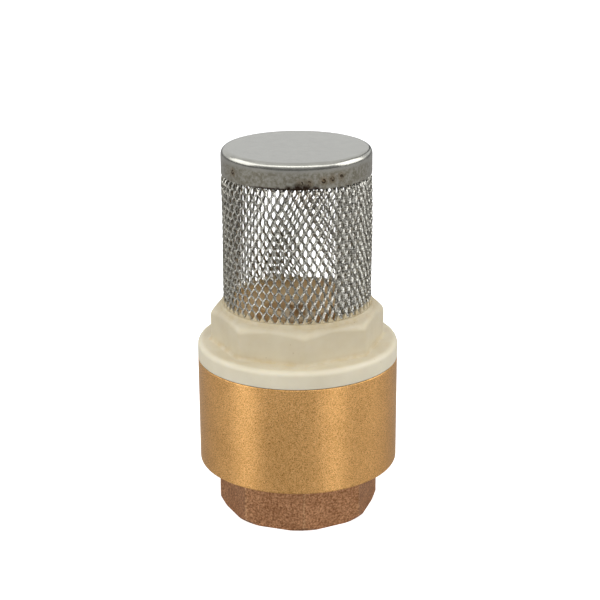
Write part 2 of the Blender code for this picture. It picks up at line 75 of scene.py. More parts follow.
def extent(node):
    """(outer radius, bottom, top) of a CAD node, in millimetres."""
    low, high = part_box(node)
    return max(high.x, -low.x) / MM, low.z / MM, high.z / MM


# Sizes that the frame gives
BODY_R, BODY_BOTTOM, BODY_TOP = extent("valve_body")
CAP_R, SPIGOT_BOTTOM, COLLAR_TOP = extent("inlet_cap")
MESH_R, MESH_FOOT, MESH_TOP = extent("strainer_mesh")
LID_R, SKIRT_BOTTOM, LID_TOP = extent("strainer_end_cap")

# Sizes of the outside that lie between those. The turn is the angle from the front to the nearest corner.
OCTAGON_TURN = 4.0
OUTLET_CORNER_R = 20.2
OUTLET_HEIGHT = 12.8
OUTLET_END_R = 19.0
OUTLET_SLOPE = 1.0
COLLAR_CORNER_R = 21.8
COLLAR_RING_R = 19.3
COLLAR_RING_Z = 53.2
COLLAR_SLOPE = 0.52
FLANGE_BOTTOM = BODY_TOP + 0.16
FLANGE_TOP = 44.6

# Inside of the body, from the outlet up
RELIEF_R = 16.8
GASKET_BED = 12.7
PORT_R = 13.2
CHAMBER_FLOOR = 15.5
CHAMBER_R = 20.8
CHAMBER_TOP = 28.5
RIM_STEP_R = 22.6
RIM_STEP_Z = 37.6

# Underside and inside of the cap
GROOVE_R = 20.3
SPIGOT_THREAD_TOP = 36.8
SPIGOT_BORE_R = 18.5
SEAT_ROOF = 33.6
SEAT_FACE = 33.0
SEAT_OUT_R = 15.2
SEAT_IN_R = 13.6
BORE_R = 13.0
FUNNEL_BOTTOM = 49.8
FUNNEL_TOP_R = 17.0
HUB_BORE_R = 3.1

# Screw threads
PIPE_MINOR_R = 15.15
PIPE_MAJOR_R = 16.62
PIPE_PITCH = 2.309
PIPE_THREAD_END = 10.5
CAP_THREAD_PITCH = 3.0
CAP_THREAD_MINOR_R = 21.65
CAP_THREAD_MAJOR_R = 22.4
CAP_THREAD_BOTTOM = 28.9
CAP_THREAD_TOP = 37.4
SPIGOT_ROOT_R = 21.35
SPIGOT_CREST_R = 22.15

# Strainer: expanded metal. Turns, the lap and the welds are in degrees from the front.
STRANDS_ROUND = 108
DIAMOND_HEIGHT = 3.62
STRAND_WIDTH = 0.62
STRAND_THICK = 0.46
STRAND_TILT = math.radians(45.0)
BOND_SHARE = 0.22
MESH_TURN = -2.3
MESH_RISE = 2.7
LAP_START = 36.0
LAP_END = 60.0
LID_SHEET = 0.4
LID_SHOULDER_R = 1.8
CAP_WELDS = (3.0, 9.0, 20.0, 27.0, 35.0, 125.0, 215.0, 305.0)

# Stage: the floor's half width in metres, the strengths of the room's light, overhead and low down, of
# the wall behind and of the gap beside it, and the normal of the plane that the gap lies in
STAGE_HALF = 3.0
ROOM_LIGHT = 0.85
ROOM_LIGHT_LOW = 0.12
WALL_LIGHT = 0.84
GAP_LIGHT = 0.05
GAP_PLANE = (0.83, -0.153, -0.54)

# Soft boxes: degrees from the front, degrees up, distance, (width, height) in metres, power in watts
SOFT_BOXES = {
    "low_left_box": (-58.0, 11.0, 0.8, (0.36, 0.32), 1.48),
    "low_right_box": (41.0, 11.0, 0.8, (0.36, 0.32), 1.36),
    "side_box": (-96.0, 30.0, 0.9, (0.80, 0.60), 2.8),
    "right_box": (95.0, 28.0, 0.9, (0.80, 0.60), 3.6),
    "front_box": (-2.0, 37.0, 0.9, (1.1, 0.42), 2.6),
    "rim_strip": (-2.0, 58.0, 0.9, (1.7, 0.30), 3.4),
}
BOXES_OFF_LID = ("low_left_box", "low_right_box", "front_box")
BOX_ON_LID = "rim_strip"

WHITE = (1.0, 1.0, 1.0)


# ---------------------------------------------------------------- geometry


def round_angles(count, corners=(), near=(0.0, 0.25, 0.6, 1.1)):
    """Angles once round, with extra ones close to each corner, in radians from +X."""
    angles = {round(360.0 * i / count, 4) for i in range(count)}
    for corner in corners:
        for step in near:
            angles.add(round((corner - step) % 360.0, 4))
            angles.add(round((corner + step) % 360.0, 4))
    ordered = sorted(angles)
    kept = [ordered[0]]
    for angle in ordered[1:]:
        if angle - kept[-1] > 0.05:
            kept.append(angle)
    return np.radians(np.array(kept))


def from_front(degrees):
    """The polar angle from +X, in radians, of an angle counted from the front."""
    return math.radians(degrees - 90.0)


def octagon(angles, corner_r, sharpness):
    """Radius of an octagon with slightly rounded corners, at each angle."""
    flat_r = corner_r * math.cos(math.pi / 8.0)
    total = np.zeros_like(angles)
    for k in range(8):
        facing = from_front(OCTAGON_TURN + 22.5 + 45.0 * k)
        total += np.maximum(np.cos(angles - facing), 0.0) ** sharpness
    return flat_r * total ** (-1.0 / sharpness)


def thread_wave(angles, height, pitch, crest, root):
    """A right-hand thread's profile, 0 at its root and 1 at its crest. Crest and root are flat parts."""
    phase = height / pitch - angles / TAU
    rise = 1.0 - np.abs(2.0 * (phase - np.floor(phase)) - 1.0)
    return np.clip((rise - root) / (1.0 - root - crest), 0.0, 1.0)


def soften(corners, steps=4, closed=True, room=0.48):
    """Rows of a profile whose corners are rounded. A corner is (radius, height, rounding).

    Radius and height are numbers, or arrays with a value for each angle. A rounding takes up no more of
    the way to a neighbour than the share given as room.
    """
    rows = []
    count = len(corners)
    for i, (r, z, rounding) in enumerate(corners):
        ends = not closed and i in (0, count - 1)
        if rounding == 0.0 or ends:
            rows.append((r, z))
            continue
        before, after = corners[i - 1], corners[(i + 1) % count]
        back_r, back_z = before[0] - r, before[1] - z
        on_r, on_z = after[0] - r, after[1] - z
        back = np.sqrt(back_r**2 + back_z**2) + 1e-9
        on = np.sqrt(on_r**2 + on_z**2) + 1e-9
        share = (back_r * on_r + back_z * on_z) / (back * on)
        half = 0.5 * np.arccos(np.clip(share, -1.0, 1.0))
        reach = np.minimum(rounding / np.tan(half), room * np.minimum(back, on))
        for k in range(steps + 1):
            t = k / steps
            first, last = (1.0 - t) ** 2, t**2
            along_r = r + first * reach * back_r / back + last * reach * on_r / on
            along_z = z + first * reach * back_z / back + last * reach * on_z / on
            rows.append((along_r, along_z))
    return rows


def shell(name, rows, angles, materials, closed=True, row_slot=None):
    """A surface round the axis. Rows go down the outer side and come back up inside.

    An open surface starts and ends on the axis. row_slot gives each band of faces its material's place.
    """
    columns = len(angles)
    cosines, sines = np.cos(angles), np.sin(angles)
    points = []
    starts = []
    for r, z in rows:
        starts.append(len(points))
        radius = np.broadcast_to(np.asarray(r, float), (columns,))
        height = np.broadcast_to(np.asarray(z, float), (columns,))
        if not closed and float(np.max(radius)) < 1e-6:
            points.append((0.0, 0.0, float(height[0]) * MM))
            continue
        points += [
            (radius[j] * cosines[j] * MM, radius[j] * sines[j] * MM, height[j] * MM)
            for j in range(columns)
        ]
    sizes = [b - a for a, b in zip(starts, starts[1:] + [len(points)])]
    faces = []
    slots = []
    bands = len(rows) if closed else len(rows) - 1
    for i in range(bands):
        k = (i + 1) % len(rows)
        slot = row_slot(i) if row_slot else 0
        for j in range(columns):
            m = (j + 1) % columns
            if sizes[i] == 1:
                faces.append((starts[i], starts[k] + j, starts[k] + m))
            elif sizes[k] == 1:
                faces.append((starts[i] + j, starts[k], starts[i] + m))
            else:
                faces.append((starts[i] + j, starts[k] + j, starts[k] + m, starts[i] + m))
            slots.append(slot)
    return piece_from(name, points, faces, materials, slots)


def piece_from(name, points, faces, materials, slots=None):
    """A smooth-shaded mesh object, linked to the scene."""
    mesh = bpy.data.meshes.new(name)
    mesh.from_pydata(points, [], faces)
    mesh.update()
    for finish in materials:
        mesh.materials.append(finish)
    if slots is not None:
        mesh.polygons.foreach_set("material_index", slots)
    mesh.shade_smooth()
    piece = bpy.data.objects.new(name, mesh)
    bpy.context.scene.collection.objects.link(piece)
    return piece


def weigh_normals(piece, angle=35.0):
    """Keeps flat faces flat beside their rounded edges."""
    piece.data.set_sharp_from_angle(angle=math.radians(angle))
    change = piece.modifiers.new("normals", "WEIGHTED_NORMAL")
    change.keep_sharp = True
    change.weight = 80
    return piece


def block(low, high):
    """Corners and faces of a box, in millimetres."""
    (x0, y0, z0), (x1, y1, z1) = low, high
    points = [(x, y, z) for z in (z0, z1) for y in (y0, y1) for x in (x0, x1)]
    faces = [(0, 2, 3, 1), (4, 5, 7, 6), (0, 1, 5, 4), (2, 6, 7, 3), (0, 4, 6, 2), (1, 3, 7, 5)]
    return points, faces


# ---------------------------------------------------------------- materials


class Nodes:
    """A material's node tree, with short calls for the nodes that these materials share."""

    def __init__(self, name):
        self.material = bpy.data.materials.new(name)
        self.material.use_nodes = True
        self.tree = self.material.node_tree
        self.shader = self.tree.nodes["Principled BSDF"]
        self.place = self.tree.nodes.new("ShaderNodeTexCoord").outputs["Object"]

    def add(self, kind, **settings):
        """A new node with the given settings."""
        node = self.tree.nodes.new(kind)
        for key, value in settings.items():
            setattr(node, key, value)
        return node

    def link(self, source, target):
        self.tree.links.new(source, target)

    def axis(self, name):
        """One coordinate of the place on the valve, in metres."""
        split = self.add("ShaderNodeSeparateXYZ")
        self.link(self.place, split.inputs["Vector"])
        return split.outputs[name]

    def noise(self, size_mm, detail=2.0, roughness=0.5, stretch=(1.0, 1.0, 1.0)):
        """Noise whose features are about size_mm across, or longer along an axis with a small stretch."""
        mapping = self.add("ShaderNodeMapping")
        mapping.inputs["Scale"].default_value = stretch
        self.link(self.place, mapping.inputs["Vector"])
        texture = self.add("ShaderNodeTexNoise")
        texture.inputs["Scale"].default_value = 1.0 / (size_mm * MM)
        texture.inputs["Detail"].default_value = detail
        texture.inputs["Roughness"].default_value = roughness
        self.link(mapping.outputs["Vector"], texture.inputs["Vector"])
        return texture.outputs["Fac"]

    def spots(self, size_mm, randomness=1.0):
        """Distance to scattered points, about size_mm apart."""
        texture = self.add("ShaderNodeTexVoronoi")
        texture.inputs["Scale"].default_value = 1.0 / (size_mm * MM)
        texture.inputs["Randomness"].default_value = randomness
        self.link(self.place, texture.inputs["Vector"])
        return texture.outputs["Distance"]

    def ramp(self, value, stops):
        """A colour ramp. Stops are (place, colour) pairs."""
        node = self.add("ShaderNodeValToRGB")
        elements = node.color_ramp.elements
        while len(elements) < len(stops):
            elements.new(0.5)
        for element, (place, colour) in zip(elements, stops):
            element.position = place
            element.color = (*colour, 1.0)
        self.link(value, node.inputs["Fac"])
        return node.outputs["Color"]

    def range(self, value, low, high, to_low, to_high):
        """The value, moved from one range to another and kept inside it."""
        node = self.add("ShaderNodeMapRange")
        for key, number in (
            ("From Min", low),
            ("From Max", high),
            ("To Min", to_low),
            ("To Max", to_high),
        ):
            node.inputs[key].default_value = number
        self.link(value, node.inputs["Value"])
        return node.outputs["Result"]

    def range_mm(self, value, low, high, to_low, to_high):
        """The same for a value in metres. Low and high are in millimetres."""
        return self.range(value, low * MM, high * MM, to_low, to_high)

    def math(self, operation, first, second=0.0):
        """One calculation on outputs or numbers."""
        node = self.add("ShaderNodeMath", operation=operation)
        for socket, value in zip(node.inputs, (first, second)):
            if isinstance(value, (int, float)):
                socket.default_value = value
            else:
                self.link(value, socket)
        return node.outputs["Value"]

    def mix(self, amount, first, second, blend="MIX"):
        """Two colours mixed. Each value is an output, a number or a colour."""
        node = self.add("ShaderNodeMix", data_type="RGBA", blend_type=blend)
        for socket, value in ((node.inputs[0], amount), (node.inputs[6], first), (node.inputs[7], second)):
            if isinstance(value, (int, float)):
                socket.default_value = value
            elif isinstance(value, tuple):
                socket.default_value = (*value, 1.0)
            else:
                self.link(value, socket)
        return node.outputs[2]

    def times(self, first, second):
        """Two colours multiplied."""
        return self.mix(1.0, first, second, "MULTIPLY")

    def bump(self, layers):
        """Stacked bumps. A layer is (height, strength, depth in millimetres)."""
        normal = None
        for height, strength, depth in layers:
            node = self.add("ShaderNodeBump")
            node.inputs["Strength"].default_value = strength
            node.inputs["Distance"].default_value = depth * MM
            self.link(height, node.inputs["Height"])
            if normal is not None:
                self.link(normal, node.inputs["Normal"])
            normal = node.outputs["Normal"]
        self.link(normal, self.shader.inputs["Normal"])

    def set(self, **values):
        """Fills the shader's sockets. An underscore stands for a space in a socket's name."""
        for key, value in values.items():
            socket = self.shader.inputs[key.replace("_", " ")]
            if isinstance(value, (int, float, tuple)):
                socket.default_value = value
            else:
                self.link(value, socket)


def lathe_sheen(nodes, amount):
    """Stretches highlights along the valve's axis, as fine tool marks round it do."""
    around = nodes.add("ShaderNodeTangent", direction_type="RADIAL", axis="Z")
    nodes.link(around.outputs["Tangent"], nodes.shader.inputs["Tangent"])
    nodes.set(Anisotropic=amount, Anisotropic_Rotation=0.25)


def blasted_brass():
    """The cylinder: turned brass with a dense fine grain over it and a few dark pits."""
    nodes = Nodes("brass_blasted")
    grain = nodes.noise(0.23, detail=2.0, roughness=0.6)
    cloud = nodes.noise(9.0, detail=2.0)
    tint = nodes.ramp(
        grain,
        [(0.36, (0.53, 0.27, 0.085)), (0.50, (0.83, 0.455, 0.155)), (0.64, (0.99, 0.62, 0.27))],
    )
    patch = nodes.ramp(cloud, [(0.35, (0.93, 0.92, 0.90)), (0.65, WHITE)])
    pits = nodes.ramp(nodes.spots(1.2), [(0.09, (0.40, 0.30, 0.22)), (0.15, WHITE)])
    nodes.set(
        Base_Color=nodes.mix(0.7, nodes.times(tint, patch), pits, "MULTIPLY"),
        Roughness=nodes.range(grain, 0.3, 0.7, 0.38, 0.48),
        Metallic=1.0,
    )
    lathe_sheen(nodes, 0.8)
    nodes.bump([(grain, 0.8, 0.035), (nodes.noise(1.1, detail=1.0), 0.2, 0.03)])
    return nodes.material


def near_octagon_corner(nodes, inner, outer):
    """1 on the octagon's upright edges, fading to 0. Inner and outer are degrees round the axis."""
    angle = nodes.math("ARCTAN2", nodes.axis("Y"), nodes.axis("X"))
    eighths = nodes.math("DIVIDE", nodes.math("SUBTRACT", angle, from_front(OCTAGON_TURN)), TAU / 8.0)
    part = nodes.math("FRACT", nodes.math("ADD", eighths, 16.5))
    off = nodes.math("ABSOLUTE", nodes.math("SUBTRACT", part, 0.5))
    return nodes.range(off, inner / 45.0, outer / 45.0, 1.0, 0.0)


def cast_brass():
    """The octagon: darker, redder and coarser than the cylinder, with a painted highlight on its upright
    edges.
    """
    nodes = Nodes("brass_cast")
    grain = nodes.noise(0.5, detail=3.0, roughness=0.7)
    cloud = nodes.noise(5.0, detail=3.0)
    tint = nodes.ramp(
        grain,
        [(0.34, (0.33, 0.155, 0.07)), (0.50, (0.60, 0.31, 0.155)), (0.67, (0.92, 0.56, 0.32))],
    )
    patch = nodes.ramp(cloud, [(0.3, (0.84, 0.80, 0.77)), (0.7, WHITE)])
    # painted highlight: the octagon's upright edges are mixed towards a pale brass, as if they caught the
    # lamps
    painted_edge_highlight = nodes.math(
        "MULTIPLY", near_octagon_corner(nodes, 0.2, 1.0), nodes.range(grain, 0.40, 0.65, 0.0, 0.55)
    )
    nodes.set(
        Base_Color=nodes.mix(painted_edge_highlight, nodes.times(tint, patch), (0.95, 0.66, 0.38)),
        Roughness=nodes.range(grain, 0.3, 0.7, 0.44, 0.62),
        Metallic=1.0,
    )
    nodes.bump([(grain, 0.8, 0.06), (nodes.noise(1.4, detail=2.0), 0.3, 0.06)])
    return nodes.material


def turned_brass(name="brass_turned"):
    """Machined bores and threads: fine tool marks round the axis."""
    nodes = Nodes(name)
    marks = nodes.noise(0.12, detail=2.0, stretch=(0.05, 0.05, 1.0))
    cloud = nodes.noise(4.0)
    tint = nodes.ramp(cloud, [(0.35, (0.70, 0.46, 0.18)), (0.65, (0.83, 0.60, 0.27))])
    nodes.set(Base_Color=tint, Roughness=nodes.range(marks, 0.3, 0.7, 0.22, 0.36), Metallic=1.0)
    nodes.bump([(marks, 0.3, 0.02)])
    return nodes.material


def nylon(name="nylon_natural", deep=(0.63, 0.57, 0.43), pale=(0.69, 0.635, 0.495)):
    """Natural nylon: cream, a little translucent, with faint flow clouds and dark specks.

    It is darker above the flange and yellower at the collar's foot and at the raised ring, and the
    collar's upper slope and ring carry a painted shade.
    """
    nodes = Nodes(name)
    cloud = nodes.noise(7.0, detail=3.0)
    cream = nodes.ramp(cloud, [(0.3, deep), (0.7, pale)])
    speck = nodes.ramp(nodes.spots(3.2), [(0.035, (0.55, 0.42, 0.28)), (0.06, WHITE)])
    grit = nodes.ramp(nodes.spots(1.4), [(0.03, (0.60, 0.48, 0.36)), (0.06, WHITE)])
    grain = nodes.noise(0.5, detail=3.0)
    height = nodes.axis("Z")
    at_foot = nodes.math(
        "MULTIPLY",
        nodes.range_mm(height, FLANGE_TOP - 0.1, FLANGE_TOP + 0.2, 0.0, 1.0),
        nodes.range_mm(height, FLANGE_TOP + 0.3, FLANGE_TOP + 1.6, 1.0, 0.25),
    )
    at_ring = nodes.range_mm(height, COLLAR_RING_Z - 1.0, COLLAR_RING_Z + 0.2, 0.0, 0.9)
    patchy = nodes.range(nodes.noise(2.6, detail=3.0), 0.35, 0.65, 0.35, 1.0)
    aged = nodes.math("MULTIPLY", nodes.math("MAXIMUM", at_foot, at_ring), patchy)
    above_flange = nodes.range_mm(height, FLANGE_TOP - 0.6, FLANGE_TOP + 0.4, 0.0, 1.0)
    cream = nodes.mix(above_flange, cream, nodes.times(cream, (0.87, 0.85, 0.81)))
    # painted shade: the collar's upper slope and the raised ring are darkened where they face the light
    top = nodes.range_mm(height, COLLAR_RING_Z - 1.2, COLLAR_RING_Z - 0.3, 0.0, 1.0)
    cream = nodes.mix(top, cream, nodes.times(cream, (0.92, 0.92, 0.93)))
    yellowed = nodes.mix(aged, cream, nodes.times(cream, (0.88, 0.79, 0.62)))
    specked = nodes.mix(0.5, yellowed, speck, "MULTIPLY")
    nodes.set(
        Base_Color=nodes.mix(0.45, specked, grit, "MULTIPLY"),
        Roughness=nodes.range(grain, 0.3, 0.7, 0.40, 0.52),
        Subsurface_Weight=0.25,
        Subsurface_Radius=(1.0, 0.8, 0.45),
        Subsurface_Scale=0.0025,
        IOR=1.53,
    )
    nodes.bump([(grain, 0.12, 0.03), (nodes.noise(2.2), 0.10, 0.05)])
    return nodes.material


def stained_nylon_painted_bounce():
    """The nylon of the bore and the guide web: tanned by the water, and made more orange by a painted warm
    bounce light from the brass.
    """
    # painted light: the tan-orange colour stands partly for water stain and partly for warm light bounced
    # from the brass in the shaded bore
    return nylon("nylon_stained_painted_bounce", (0.84, 0.61, 0.34), (0.92, 0.71, 0.44))


def strainer_steel():
    """The rolled flats of the stainless strands, with brown heat stains under the end cap's skirt."""
    nodes = Nodes("steel_strands")
    streak = nodes.noise(0.5, detail=2.0)
    tint = nodes.ramp(streak, [(0.36, (0.46, 0.45, 0.41)), (0.60, (0.92, 0.91, 0.85))])
    stains = [(4.0, SKIRT_BOTTOM - 1.2, 0.9, 4.2), (19.0, SKIRT_BOTTOM - 1.0, 0.4, 3.0)]
    heat = heat_round(nodes, stains)
    ragged = nodes.math("MULTIPLY", heat, nodes.range(nodes.noise(0.9, detail=2.0), 0.35, 0.6, 0.3, 1.0))
    brown = nodes.ramp(ragged, [(0.0, WHITE), (0.6, (0.55, 0.38, 0.27))])
    nodes.set(
        Base_Color=nodes.times(tint, brown),
        Roughness=nodes.range(streak, 0.3, 0.7, 0.20, 0.34),
        Metallic=1.0,
    )
    nodes.bump([(nodes.noise(0.2), 0.3, 0.02)])
    return nodes.material


def sheared_steel_painted_shade():
    """The strands' cut flanks: torn, with dark patches beside bright ones, and darker than the flats as a
    painted shade on the strands' sides.
    """
    nodes = Nodes("steel_sheared_painted_shade")
    torn = nodes.noise(0.35, detail=2.0)
    # painted shade: the flanks are darker than the flats, so the strands show dark sides
    tint = nodes.ramp(torn, [(0.38, (0.13, 0.12, 0.10)), (0.60, (0.80, 0.785, 0.72))])
    nodes.set(Base_Color=tint, Roughness=nodes.range(torn, 0.3, 0.7, 0.28, 0.42), Metallic=1.0)
    nodes.bump([(nodes.noise(0.15), 0.4, 0.02)])
    return nodes.material


def heat_round(nodes, places):
    """1 near the given places on the basket's wall, fading to 0.

    A place is (degrees from the front, height, radius of the hottest part, radius where the heat ends).
    """
    heat = None
    for degrees, height, hot, cold in places:
        turn = from_front(degrees)
        away = nodes.add("ShaderNodeVectorMath", operation="DISTANCE")
        nodes.link(nodes.place, away.inputs[0])
        away.inputs[1].default_value = (
            LID_R * math.cos(turn) * MM,
            LID_R * math.sin(turn) * MM,
            height * MM,
        )
        near = nodes.range(away.outputs["Value"], hot * MM, cold * MM, 1.0, 0.0)
        heat = near if heat is None else nodes.math("MAXIMUM", heat, near)
    return heat


def pressed_steel():
    """The end cap: satin sheet with small scorched rings where it is spot-welded, and a painted shadow
    along the skirt's lower edge at the front.
    """
    nodes = Nodes("steel_pressed")
    cloud = nodes.noise(2.5, detail=4.0, roughness=0.6)
    fine = nodes.noise(0.15, detail=2.0)
    satin = nodes.ramp(cloud, [(0.3, (0.432, 0.423, 0.38)), (0.7, (0.513, 0.504, 0.456))])
    height = nodes.axis("Z")
    side = nodes.range_mm(height, LID_TOP - 2.6, LID_TOP - 1.8, 1.0, 0.0)
    film = nodes.noise(0.8, detail=4.0, roughness=0.7)
    grime = nodes.ramp(film, [(0.40, (0.64, 0.60, 0.52)), (0.60, (1.0, 0.99, 0.96))])
    tint = nodes.mix(side, satin, nodes.times(satin, grime))
    top_weld = 0.5 * (SKIRT_BOTTOM + LID_TOP) - 0.6
    draw = np.random.default_rng(5)
    rings, halos = [], []
    for degrees in CAP_WELDS:
        weld_z = top_weld - 1.1 * draw.random()
        rings.append((degrees, weld_z, 0.30, 0.62))
        halos.append((degrees, weld_z, 0.3, 1.5))
    ragged = nodes.range(nodes.noise(0.45, detail=3.0), 0.42, 0.56, 0.0, 1.0)
    spot = heat_round(nodes, rings)
    hollow = nodes.range(spot, 0.75, 1.0, 1.0, 0.55)
    ring = nodes.math("MULTIPLY", nodes.range(spot, 0.0, 0.5, 0.0, 1.0), hollow)
    ring = nodes.math("MULTIPLY", ring, ragged)
    # painted shadow: a dark line along the skirt's lower edge at the front, where the skirt stands over
    # the mesh
    skirt_edge_shadow_places = [
        (-14.0, 0.2, 1.1),
        (-6.0, 0.3, 1.5),
        (1.0, 0.6, 2.2),
        (7.0, 0.6, 1.9),
        (14.0, 0.3, 1.5),
    ]
    skirt_edge_shadow = heat_round(nodes, [(turn, SKIRT_BOTTOM, hot, cold) for turn, hot, cold in skirt_edge_shadow_places])
    shadow_line_height = nodes.range_mm(height, SKIRT_BOTTOM + 0.2, SKIRT_BOTTOM + 0.65, 0.9, 0.0)
    shadow_line_reach = heat_round(nodes, [(-8.0, SKIRT_BOTTOM, 6.0, 10.5)])
    skirt_edge_shadow = nodes.math("MAXIMUM", skirt_edge_shadow, nodes.math("MULTIPLY", shadow_line_height, shadow_line_reach))
    skirt_edge_shadow = nodes.math("MULTIPLY", skirt_edge_shadow, nodes.range(ragged, 0.0, 1.0, 0.75, 1.0))
    weld_burns_and_shadow = nodes.math("MAXIMUM", ring, skirt_edge_shadow)
    halo = nodes.math("MULTIPLY", heat_round(nodes, halos), nodes.range(cloud, 0.3, 0.7, 0.3, 1.0))
    straw = nodes.ramp(halo, [(0.0, WHITE), (0.9, (0.68, 0.52, 0.36))])
    # the black takes in both the weld rings and the painted shadow line
    black = nodes.ramp(weld_burns_and_shadow, [(0.1, WHITE), (0.75, (0.10, 0.065, 0.05))])
    nodes.set(
        Base_Color=nodes.times(nodes.times(tint, straw), black),
        Roughness=nodes.range(cloud, 0.3, 0.7, 0.20, 0.27),
        Metallic=1.0,
    )
    nodes.bump([(fine, 0.35, 0.015), (cloud, 0.10, 0.05)])
    return nodes.material


def machined_steel(name="steel_machined", deep=(0.44, 0.42, 0.38), pale=(0.56, 0.54, 0.49)):
    """Nut, washers, circlip and spring: fine marks round the axis."""
    nodes = Nodes(name)
    marks = nodes.noise(0.15, detail=2.0, stretch=(0.1, 0.1, 1.0))
    tint = nodes.ramp(marks, [(0.3, deep), (0.7, pale)])
    nodes.set(Base_Color=tint, Roughness=nodes.range(marks, 0.3, 0.7, 0.34, 0.48), Metallic=1.0)
    nodes.bump([(marks, 0.2, 0.01)])
    return nodes.material


def stained_steel():
    """The stem, with the water's tan film on it."""
    return machined_steel("steel_stained", (0.46, 0.34, 0.21), (0.60, 0.46, 0.30))


def nitrile():
    """Seal and gaskets: matt black rubber."""
    nodes = Nodes("nitrile_rubber")
    grain = nodes.noise(0.3, detail=3.0)
    tint = nodes.ramp(grain, [(0.3, (0.018, 0.018, 0.019)), (0.7, (0.035, 0.034, 0.034))])
    nodes.set(Base_Color=tint, Roughness=nodes.range(grain, 0.3, 0.7, 0.55, 0.72))
    nodes.bump([(grain, 0.25, 0.02)])
    return nodes.material


def acetal_painted_shade():
    """The guide bushes: smooth natural acetal, coloured tan as a painted shade and warm bounce light."""
    nodes = Nodes("acetal_moulded_painted_shade")
    grain = nodes.noise(0.4, detail=2.0)
    # painted shade: the cream acetal is given a tan colour, as it looks in the shaded bore
    tint = nodes.ramp(grain, [(0.3, (0.60, 0.47, 0.30)), (0.7, (0.68, 0.56, 0.38))])
    nodes.set(Base_Color=tint, Roughness=nodes.range(grain, 0.3, 0.7, 0.34, 0.46))
    nodes.bump([(grain, 0.15, 0.01)])
    return nodes.material


def floor_paper():
    """White paper for the camera. It sends less light back to the valve, as a small table would."""
    nodes = Nodes("floor_paper")
    nodes.set(
        Base_Color=nodes.ramp(nodes.noise(6.0), [(0.3, (0.93, 0.93, 0.93)), (0.7, (0.95, 0.95, 0.95))]),
        Roughness=0.9,
    )
    dim = nodes.add("ShaderNodeBsdfDiffuse")
    dim.inputs["Color"].default_value = (0.36, 0.355, 0.35, 1.0)
    nodes.set(Emission_Color=(1.0, 1.0, 1.0, 1.0), Emission_Strength=0.55)
    seen = nodes.add("ShaderNodeLightPath")
    choose = nodes.add("ShaderNodeMixShader")
    nodes.link(seen.outputs["Is Camera Ray"], choose.inputs["Fac"])
    nodes.link(dim.outputs["BSDF"], choose.inputs[1])
    nodes.link(nodes.shader.outputs["BSDF"], choose.inputs[2])
    nodes.link(choose.outputs["Shader"], nodes.tree.nodes["Material Output"].inputs["Surface"])
    return nodes.material


# ---------------------------------------------------------------- brass body


def brass_body():
    """Cylinder, octagon outlet, both threaded bores: one turned and forged surface."""
    corners = [OCTAGON_TURN - 90.0 + 45.0 * k for k in range(8)]
    angles = round_angles(240, corners)
    side = octagon(angles, OUTLET_CORNER_R, 240.0)
    chamfer_z = BODY_BOTTOM + 0.12 + OUTLET_SLOPE * np.maximum(side - OUTLET_END_R, 0.0)
    end_r = np.minimum(side - 0.12, OUTLET_END_R)
    outside = [
        (BODY_R - 0.1, BODY_TOP, 0.12),
        (BODY_R, BODY_TOP - 0.15, 0.1),
        (BODY_R, OUTLET_HEIGHT, 0.45),
        (side, OUTLET_HEIGHT, 0.35),
        (side, chamfer_z, 0.2),
        (end_r, BODY_BOTTOM, 0.1),
        (PIPE_MAJOR_R + 0.05, BODY_BOTTOM, 0.05),
    ]
    rows = soften(outside, closed=False)
    outer_count = len(rows)
    steps = int(PIPE_THREAD_END / PIPE_PITCH * 12)
    for i in range(1, steps + 1):
        height = PIPE_THREAD_END * i / steps
        wave = thread_wave(angles, height, PIPE_PITCH, 0.12, 0.12)
        threaded = PIPE_MINOR_R + (PIPE_MAJOR_R - PIPE_MINOR_R) * wave
        entry = PIPE_MAJOR_R + 0.05 - height
        rows.append((np.maximum(threaded, entry), height))
    inside = [
        (RELIEF_R, PIPE_THREAD_END + 0.2, 0.0),
        (RELIEF_R, GASKET_BED, 0.15),
        (PORT_R, GASKET_BED, 0.15),
        (PORT_R, CHAMBER_FLOOR, 0.3),
        (CHAMBER_R, CHAMBER_FLOOR, 0.8),
        (CHAMBER_R, CHAMBER_TOP, 0.3),
        (CAP_THREAD_MINOR_R, CAP_THREAD_BOTTOM - 0.2, 0.0),
    ]
    rows += soften(inside, closed=False)
    low, high = CAP_THREAD_BOTTOM, CAP_THREAD_TOP
    steps = int((high - low) / CAP_THREAD_PITCH * 12)
    for i in range(steps + 1):
        height = low + (high - low) * i / steps
        wave = thread_wave(angles, height, CAP_THREAD_PITCH, 0.10, 0.20)
        rows.append((CAP_THREAD_MINOR_R + (CAP_THREAD_MAJOR_R - CAP_THREAD_MINOR_R) * wave, height))
    rows += soften([(RIM_STEP_R, RIM_STEP_Z, 0.0), (RIM_STEP_R, BODY_TOP, 0.15)], closed=False)
    cylinder_rows, mouth_rows = 9, 5

    def slot(i):
        """Blasted cylinder, cast octagon, machined bore."""
        if i < cylinder_rows:
            return 0
        return 1 if i < outer_count - mouth_rows else 2

    body = shell(
        "body_casting", rows, angles, [blasted_brass(), cast_brass(), turned_brass()], row_slot=slot
    )
    weigh_normals(body)
    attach(body, "valve")
    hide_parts("valve_body")
    return body


